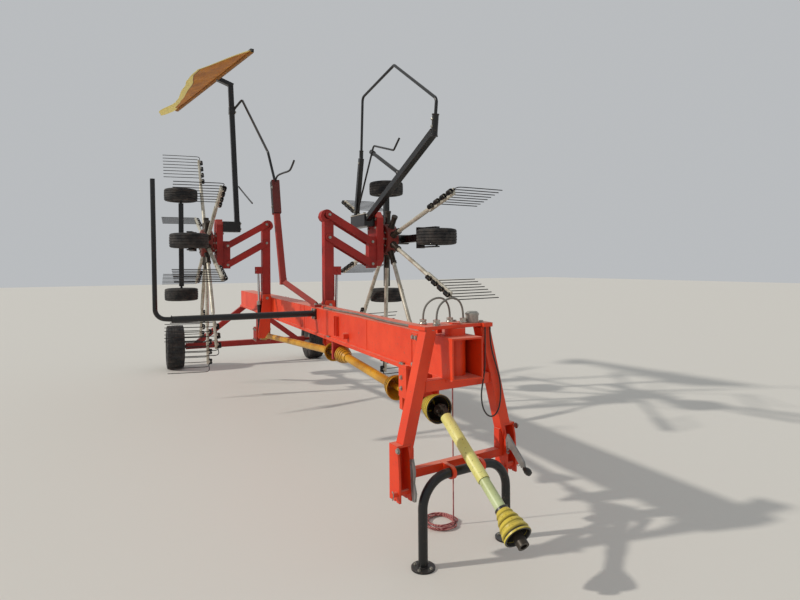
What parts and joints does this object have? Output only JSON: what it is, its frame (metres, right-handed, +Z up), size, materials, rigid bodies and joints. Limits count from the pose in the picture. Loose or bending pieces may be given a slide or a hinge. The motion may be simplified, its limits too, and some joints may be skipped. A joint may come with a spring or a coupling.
{
  "type": "two-rotor rotary rake",
  "caption": "Trailed hay rake with tined rotors folded upright on parallel links, a chassis beam, swivelling headstock, drive shafts, guards and a swath cloth.",
  "frame": {"origin": "on the ground under the middle of the machine's bounding box", "axes": "+X towards the tractor, +Y to the machine's left, +Z up"},
  "size_m": [7.7603, 2.915, 4.0085],
  "materials": {
    "red_paint": "gloss",
    "black_paint": "gloss",
    "galvanised": "dull zinc",
    "guard_plastic": "satin",
    "shaft_steel": "machined",
    "cloth": "coated, worn",
    "tyre": "worn",
    "rim_paint": "satin",
    "rope": "laid fibre",
    "rubber": "matt",
    "hose": "matt"
  },
  "bodies": {
    "chassis": {"main_beam": "red_paint", "transport_axle": "red_paint", "bearing_front": "red_paint", "bearing_middle": "red_paint", "splitter_gearbox": "red_paint", "input_shaft": "guard_plastic", "middle_shaft": "guard_plastic", "rear_shaft": "guard_plastic", "pipe_rest": "red_paint", "side_guard": "black_paint", "boom_brackets": "red_paint", "rope_pull": "rope", "rope_coil": "rope", "hose_beam": "hose"},
    "headstock": {"headstock": "red_paint", "hitch_channels": "red_paint", "hitch_catches": "galvanised", "cable_loop": "rubber", "hose_coupler_rear": "hose", "hose_coupler_front": "hose"},
    "stand": {"parking_stand": "black_paint"},
    "front_shaft": {"front_shaft": "guard_plastic", "front_yoke": "shaft_steel"},
    "transport_wheel_left": {"transport_tyre_left": "tyre", "transport_rim_left": "rim_paint"},
    "transport_wheel_right": {"transport_tyre_right": "tyre", "transport_rim_right": "rim_paint"},
    "boom_left": {"boom_left": "red_paint"},
    "link_upper_left": {"link_upper_left": "red_paint"},
    "link_lower_left": {"link_lower_left": "red_paint"},
    "carriage_left": {"rotor_head_left": "red_paint", "rotor_chassis_left": "black_paint", "guard_hoop_left": "black_paint"},
    "rotor_left": {"rotor_left": "galvanised"},
    "lift_barrel_left": {"lift_barrel_left": "black_paint"},
    "lift_rod_left": {"lift_rod_left": "shaft_steel"},
    "runner_left_upper": {"runner_tyre_left_upper": "tyre", "runner_rim_left_upper": "rim_paint"},
    "runner_left_lower": {"runner_tyre_left_lower": "tyre", "runner_rim_left_lower": "rim_paint"},
    "runner_left_front": {"runner_tyre_left_front": "tyre", "runner_rim_left_front": "rim_paint"},
    "boom_right": {"boom_right": "red_paint"},
    "link_upper_right": {"link_upper_right": "red_paint"},
    "link_lower_right": {"link_lower_right": "red_paint"},
    "carriage_right": {"rotor_head_right": "red_paint", "rotor_chassis_right": "black_paint", "cloth_post": "black_paint", "swath_cloth": "cloth"},
    "rotor_right": {"rotor_right": "galvanised"},
    "lift_barrel_right": {"lift_barrel_right": "black_paint"},
    "lift_rod_right": {"lift_rod_right": "shaft_steel"},
    "runner_right_upper": {"runner_tyre_right_upper": "tyre", "runner_rim_right_upper": "rim_paint"},
    "runner_right_lower": {"runner_tyre_right_lower": "tyre", "runner_rim_right_lower": "rim_paint"},
    "runner_right_front": {"runner_tyre_right_front": "tyre", "runner_rim_right_front": "rim_paint"}
  },
  "joints": [
    {"name": "headstock_yaw", "type": "hinge", "parent": "chassis", "child": "headstock", "pos_m": [3.24076, 0.1075, 1.22], "axis": [0, 0, 1], "range_deg": [-47, 33]},
    {"name": "stand_swing", "type": "hinge", "parent": "headstock", "child": "stand", "pos_m": [3.33406, 0.11896, 0.476], "axis": [-0.1219, 0.9925, 0], "range_deg": [0, 50]},
    {"name": "front_shaft_lift", "type": "hinge", "parent": "chassis", "child": "front_shaft", "pos_m": [3.08476, 0.1075, 0.745], "axis": [0, -1, 0], "range_deg": [0, 45]},
    {"name": "transport_spin_left", "type": "hinge", "parent": "chassis", "child": "transport_wheel_left", "pos_m": [-3.53524, 1.2425, 0.345], "axis": [0, 1, 0], "continuous": true},
    {"name": "transport_spin_right", "type": "hinge", "parent": "chassis", "child": "transport_wheel_right", "pos_m": [-3.53524, -1.0275, 0.345], "axis": [0, 1, 0], "continuous": true},
    {"name": "fold_left", "type": "hinge", "parent": "chassis", "child": "boom_left", "pos_m": [0.37476, 0.2675, 1.215], "axis": [-1, 0, 0], "range_deg": [0, 90]},
    {"name": "link_upper_swing_left", "type": "hinge", "parent": "boom_left", "child": "link_upper_left", "pos_m": [0.37476, 0.2675, 2.165], "axis": [1, 0, 0], "range_deg": [0, 62.01]},
    {"name": "link_lower_swing_left", "type": "hinge", "parent": "boom_left", "child": "link_lower_left", "pos_m": [0.37476, 0.2675, 1.925], "axis": [1, 0, 0], "range_deg": [0, 62.01]},
    {"name": "head_level_left", "type": "hinge", "parent": "link_upper_left", "child": "carriage_left", "pos_m": [0.37476, 0.75247, 1.885], "axis": [-1, 0, 0], "range_deg": [0, 62.01]},
    {"name": "cylinder_swing_left", "type": "hinge", "parent": "chassis", "child": "lift_barrel_left", "pos_m": [0.37476, 0.3425, 0.74], "axis": [-1, 0, 0], "range_deg": [0, 35.53]},
    {"name": "cylinder_stroke_left", "type": "slide", "parent": "lift_barrel_left", "child": "lift_rod_left", "axis": [0, -0.0299, -0.9996], "range_m": [0, 0.36446]},
    {"name": "rotor_spin_left", "type": "hinge", "parent": "carriage_left", "child": "rotor_left", "pos_m": [0.30476, 0.9925, 1.92], "axis": [0, 1, 0], "continuous": true},
    {"name": "runner_spin_left_upper", "type": "hinge", "parent": "carriage_left", "child": "runner_left_upper", "pos_m": [-0.29524, 1.2475, 2.58], "axis": [0, 0, 1], "continuous": true},
    {"name": "runner_spin_left_lower", "type": "hinge", "parent": "carriage_left", "child": "runner_left_lower", "pos_m": [-0.29524, 1.2475, 1.26], "axis": [0, 0, 1], "continuous": true},
    {"name": "runner_spin_left_front", "type": "hinge", "parent": "carriage_left", "child": "runner_left_front", "pos_m": [0.98476, 1.2475, 1.92], "axis": [0, 0, 1], "continuous": true},
    {"name": "fold_right", "type": "hinge", "parent": "chassis", "child": "boom_right", "pos_m": [-1.24524, -0.0525, 1.215], "axis": [1, 0, 0], "range_deg": [0, 90]},
    {"name": "link_upper_swing_right", "type": "hinge", "parent": "boom_right", "child": "link_upper_right", "pos_m": [-1.24524, -0.0525, 2.165], "axis": [-1, 0, 0], "range_deg": [0, 62.01]},
    {"name": "link_lower_swing_right", "type": "hinge", "parent": "boom_right", "child": "link_lower_right", "pos_m": [-1.24524, -0.0525, 1.925], "axis": [-1, 0, 0], "range_deg": [0, 62.01]},
    {"name": "head_level_right", "type": "hinge", "parent": "link_upper_right", "child": "carriage_right", "pos_m": [-1.24524, -0.53748, 1.885], "axis": [1, 0, 0], "range_deg": [0, 62.01]},
    {"name": "cylinder_swing_right", "type": "hinge", "parent": "chassis", "child": "lift_barrel_right", "pos_m": [-1.24524, -0.1275, 0.74], "axis": [1, 0, 0], "range_deg": [0, 35.53]},
    {"name": "cylinder_stroke_right", "type": "slide", "parent": "lift_barrel_right", "child": "lift_rod_right", "axis": [0, 0.0299, -0.9996], "range_m": [0, 0.36446]},
    {"name": "rotor_spin_right", "type": "hinge", "parent": "carriage_right", "child": "rotor_right", "pos_m": [-1.31524, -0.7775, 1.92], "axis": [0, 1, 0], "continuous": true},
    {"name": "runner_spin_right_upper", "type": "hinge", "parent": "carriage_right", "child": "runner_right_upper", "pos_m": [-1.91524, -1.0325, 2.58], "axis": [0, 0, 1], "continuous": true},
    {"name": "runner_spin_right_lower", "type": "hinge", "parent": "carriage_right", "child": "runner_right_lower", "pos_m": [-1.91524, -1.0325, 1.26], "axis": [0, 0, 1], "continuous": true},
    {"name": "runner_spin_right_front", "type": "hinge", "parent": "carriage_right", "child": "runner_right_front", "pos_m": [-0.63524, -1.0325, 1.92], "axis": [0, 0, 1], "continuous": true}
  ],
  "couplings": [
    {"joint": "link_upper_swing_left", "follows": "fold_left", "ratio": 0.68889},
    {"joint": "link_lower_swing_left", "follows": "fold_left", "ratio": 0.68889},
    {"joint": "head_level_left", "follows": "fold_left", "ratio": 0.68889},
    {"joint": "cylinder_swing_left", "follows": "fold_left", "ratio": 0.39467},
    {"joint": "cylinder_stroke_left", "follows": "fold_left", "m_per_rad": 0.23196},
    {"joint": "link_upper_swing_right", "follows": "fold_right", "ratio": 0.68889},
    {"joint": "link_lower_swing_right", "follows": "fold_right", "ratio": 0.68889},
    {"joint": "head_level_right", "follows": "fold_right", "ratio": 0.68889},
    {"joint": "cylinder_swing_right", "follows": "fold_right", "ratio": 0.39467},
    {"joint": "cylinder_stroke_right", "follows": "fold_right", "m_per_rad": 0.23196}
  ]
}
